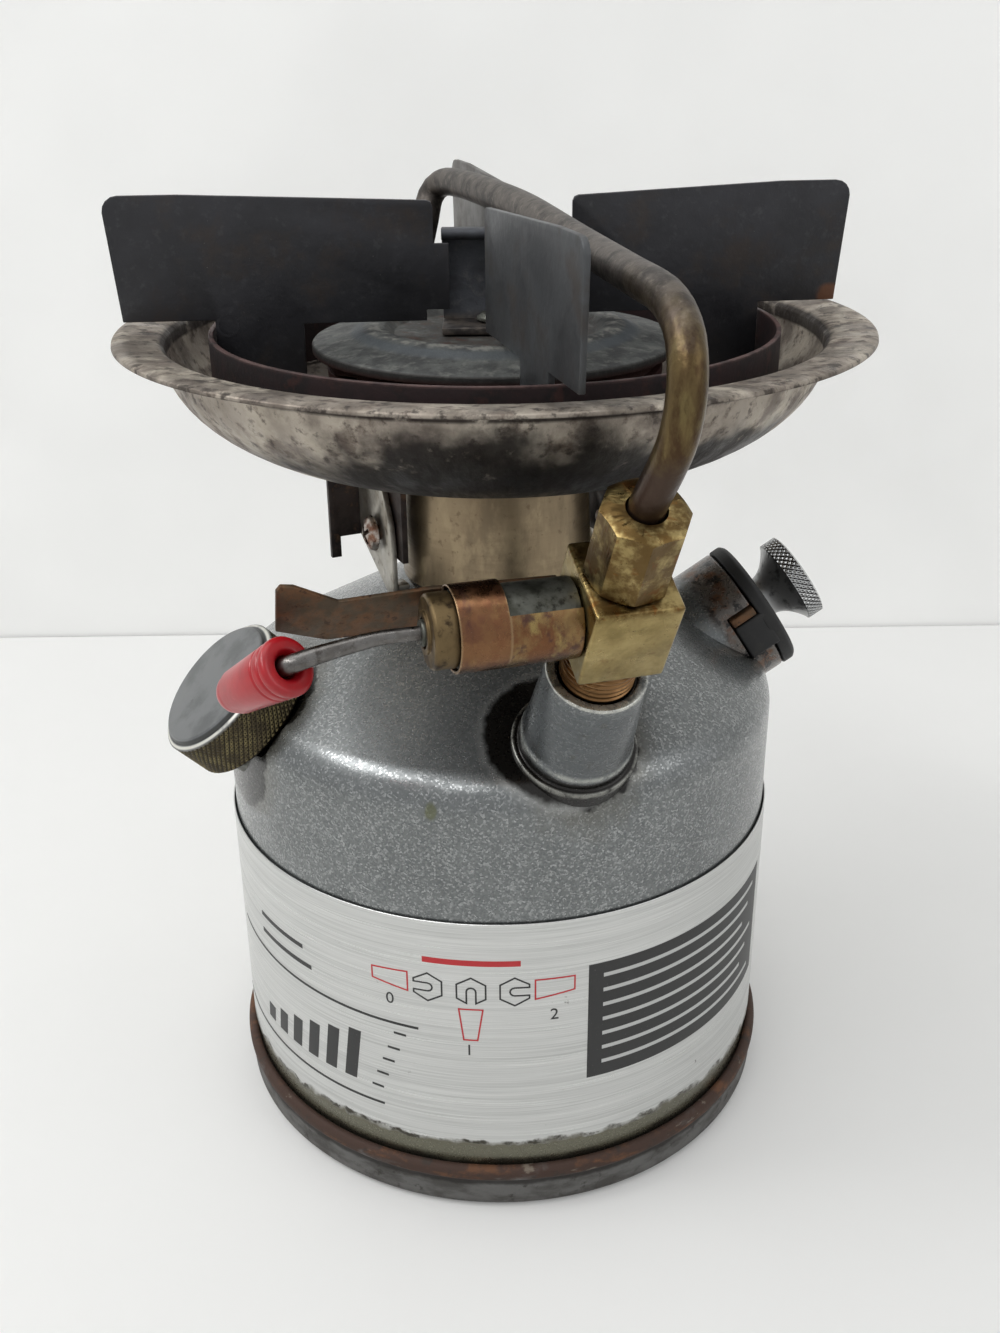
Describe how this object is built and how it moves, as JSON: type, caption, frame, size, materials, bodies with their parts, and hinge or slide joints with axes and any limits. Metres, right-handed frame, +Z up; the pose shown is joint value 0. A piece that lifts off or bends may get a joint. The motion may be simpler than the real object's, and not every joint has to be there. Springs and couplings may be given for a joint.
{
  "type": "dual fuel camp stove",
  "caption": "Single-burner liquid-fuel camp stove: round pressure tank with pump, filler cap and lever valve, arched generator tube, bowl-shaped burner pan and upright pot vanes.",
  "frame": {"origin": "on the tank's axis at the height of the base ring that the stove stands on, 1 mm under the tank's flat bottom", "axes": "+Z up along the tank and burner axis; the valve and its arched tube face -Y; +X is to the right, where the pump is, for a person who faces the valve"},
  "size_m": [0.1262, 0.1378, 0.1689],
  "materials": {
    "tank_paint": "grey metallic-flake enamel, glossy, scuffed",
    "base_steel": "worn grey paint with rust along the bead",
    "label_aluminium": "printed brushed aluminium foil",
    "tarnished_brass": "machined brass, tarnished by heat",
    "copper": "heat-tinted copper sheet, satin",
    "sooty_steel": "turned steel, dulled",
    "bright_steel": "plated steel, bright",
    "rust": "rusted sheet steel",
    "black_plastic": "moulded black plastic",
    "red_plastic": "moulded red plastic, glossy",
    "cap_casting": "die-cast metal, scratched",
    "leather": "oiled leather",
    "rubber": "fuel-proof rubber",
    "pan_steel": "pressed steel, mottled by heat and soot",
    "column_steel": "heat-yellowed steel",
    "bracket_steel": "steel blackened by soot",
    "ear_steel": "bare bent sheet steel",
    "ring_steel": "steel oxidised dark red-brown",
    "burner_steel": "pressed steel, heat-greyed",
    "vane_steel": "steel blackened by heat",
    "generator_brass": "brass tube, sooted and heat-tinted"
  },
  "bodies": {
    "tank": {"tank_shell": "tank_paint", "tank_base": "base_steel", "label_band": "label_aluminium", "valve_boss": "tank_paint", "valve_body": "tarnished_brass", "fuel_pickup_tube": "tarnished_brass", "stem_housing": "sooty_steel", "stem_packing": "rubber", "packing_nut": "tarnished_brass", "valve_sleeve": "copper", "lever_stop": "rust", "generator_nut": "tarnished_brass", "generator_tube": "generator_brass", "generator_jet": "tarnished_brass", "filler_neck": "base_steel", "pump_cylinder": "tank_paint", "pump_cap": "black_plastic", "pump_clip": "rust", "check_valve": "tarnished_brass", "mixing_column": "column_steel", "tank_ear_left": "ear_steel", "tank_ear_right": "ear_steel", "burner_leg_left": "bracket_steel", "burner_leg_right": "bracket_steel", "leg_screw_left": "bright_steel", "leg_screw_right": "bright_steel", "burner_pan": "pan_steel", "windscreen_ring": "ring_steel", "burner_cup": "burner_steel", "burner_ring_lower": "burner_steel", "burner_ring_middle": "burner_steel", "burner_ring_upper": "burner_steel", "burner_cap": "burner_steel", "cap_screw": "bright_steel", "generator_rest": "burner_steel", "vane_left": "vane_steel", "vane_right": "vane_steel", "vane_front": "vane_steel", "vane_back": "vane_steel"},
    "fuel_lever": {"valve_stem": "tarnished_brass", "lever_rod": "bright_steel", "lever_grip": "red_plastic"},
    "needle": {"cleaning_needle": "bright_steel"},
    "air_stem": {"air_stem": "bright_steel"},
    "plunger": {"plunger_rod": "bright_steel", "pump_knob": "bright_steel", "pump_cup": "leather"},
    "cap_gasket": {"filler_gasket": "rubber"},
    "fuel_cap": {"filler_cap": "cap_casting"}
  },
  "joints": [
    {"name": "fuel_lever_turn", "type": "hinge", "parent": "tank", "child": "fuel_lever", "pos_m": [0.0163, -0.05685, 0.11813], "axis": [-0.9613, -0.2756, 0], "range_deg": [0, 180]},
    {"name": "needle_lift", "type": "slide", "parent": "tank", "child": "needle", "axis": [0.1328, -0.4632, 0.8762], "range_m": [0, 0.0015]},
    {"name": "air_stem_turn", "type": "hinge", "parent": "tank", "child": "air_stem", "pos_m": [0.04775, 0.00902, 0.0907], "axis": [0.8333, 0.1575, 0.5299], "range_deg": [0, 360]},
    {"name": "plunger_slide", "type": "slide", "parent": "air_stem", "child": "plunger", "axis": [0.8333, 0.1575, 0.5299], "range_m": [0, 0.055]},
    {"name": "cap_lift", "type": "slide", "parent": "tank", "child": "cap_gasket", "axis": [-0.6336, -0.2625, 0.7278], "range_m": [0, 0.003]},
    {"name": "cap_turn", "type": "hinge", "parent": "cap_gasket", "child": "fuel_cap", "pos_m": [-0.04351, -0.01802, 0.08348], "axis": [-0.6336, -0.2625, 0.7278], "range_deg": [0, 720]}
  ],
  "couplings": [
    {"joint": "fuel_lever_turn", "follows": "needle_lift", "rad_per_m": 2094.3},
    {"joint": "cap_turn", "follows": "cap_lift", "rad_per_m": 4188.8}
  ]
}
